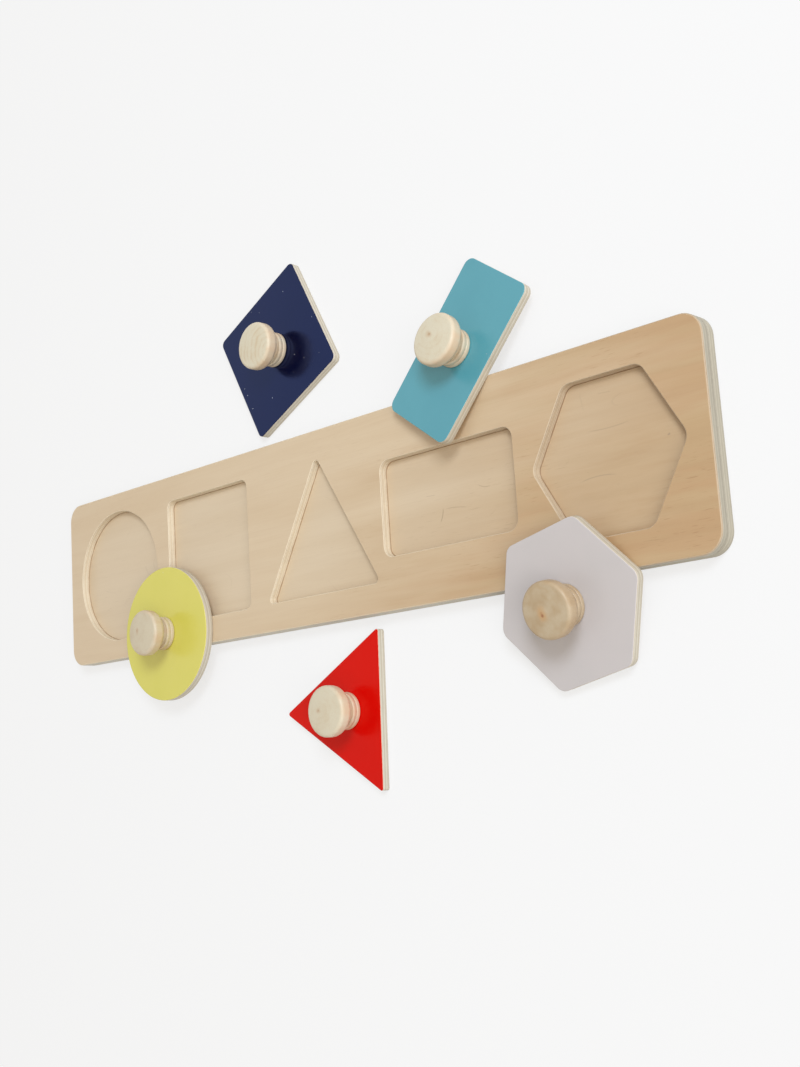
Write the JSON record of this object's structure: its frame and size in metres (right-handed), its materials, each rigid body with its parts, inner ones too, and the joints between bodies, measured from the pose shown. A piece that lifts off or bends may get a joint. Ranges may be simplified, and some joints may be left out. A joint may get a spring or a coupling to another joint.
{
  "type": "peg puzzle",
  "caption": "Long plywood puzzle board with a row of shape recesses and loose painted plates, each lifted by a turned wooden knob.",
  "frame": {"origin": "centre of the board's underside", "axes": "+X along the board from the disc's recess to the hexagon's, +Y across it towards the triangle's apex, +Z out of its face"},
  "size_m": [0.5516, 0.3383, 0.0366],
  "materials": {
    "board_face": "sanded plywood, clear matt lacquer",
    "board_back": "sanded plywood, clear matt lacquer",
    "knob_wood": "turned hardwood, clear satin lacquer",
    "screw_steel": "plain zinc",
    "yellow_paint": "plywood with a satin painted face",
    "navy_paint": "plywood with a satin painted face",
    "red_paint": "plywood with a satin painted face",
    "teal_paint": "plywood with a satin painted face",
    "lilac_paint": "plywood with a satin painted face"
  },
  "bodies": {
    "board": {"front_sheet": "board_face", "back_sheet": "board_back"},
    "disc_piece": {"disc_plate": "yellow_paint", "disc_knob": "knob_wood", "disc_screw": "screw_steel"},
    "square_piece": {"square_plate": "navy_paint", "square_knob": "knob_wood", "square_screw": "screw_steel"},
    "triangle_piece": {"triangle_plate": "red_paint", "triangle_knob": "knob_wood", "triangle_screw": "screw_steel"},
    "rectangle_piece": {"rectangle_plate": "teal_paint", "rectangle_knob": "knob_wood", "rectangle_screw": "screw_steel"},
    "hexagon_piece": {"hexagon_plate": "lilac_paint", "hexagon_knob": "knob_wood", "hexagon_screw": "screw_steel"}
  },
  "joints": [
    {"name": "disc_lift", "type": "slide", "parent": "board", "child": "disc_piece", "axis": [0, 0, 1], "range_m": [0, 0.08]},
    {"name": "square_lift", "type": "slide", "parent": "board", "child": "square_piece", "axis": [0, 0, 1], "range_m": [0, 0.08]},
    {"name": "triangle_lift", "type": "slide", "parent": "board", "child": "triangle_piece", "axis": [0, 0, 1], "range_m": [0, 0.08]},
    {"name": "rectangle_lift", "type": "slide", "parent": "board", "child": "rectangle_piece", "axis": [0, 0, 1], "range_m": [0, 0.08]},
    {"name": "hexagon_lift", "type": "slide", "parent": "board", "child": "hexagon_piece", "axis": [0, 0, 1], "range_m": [0, 0.08]}
  ]
}
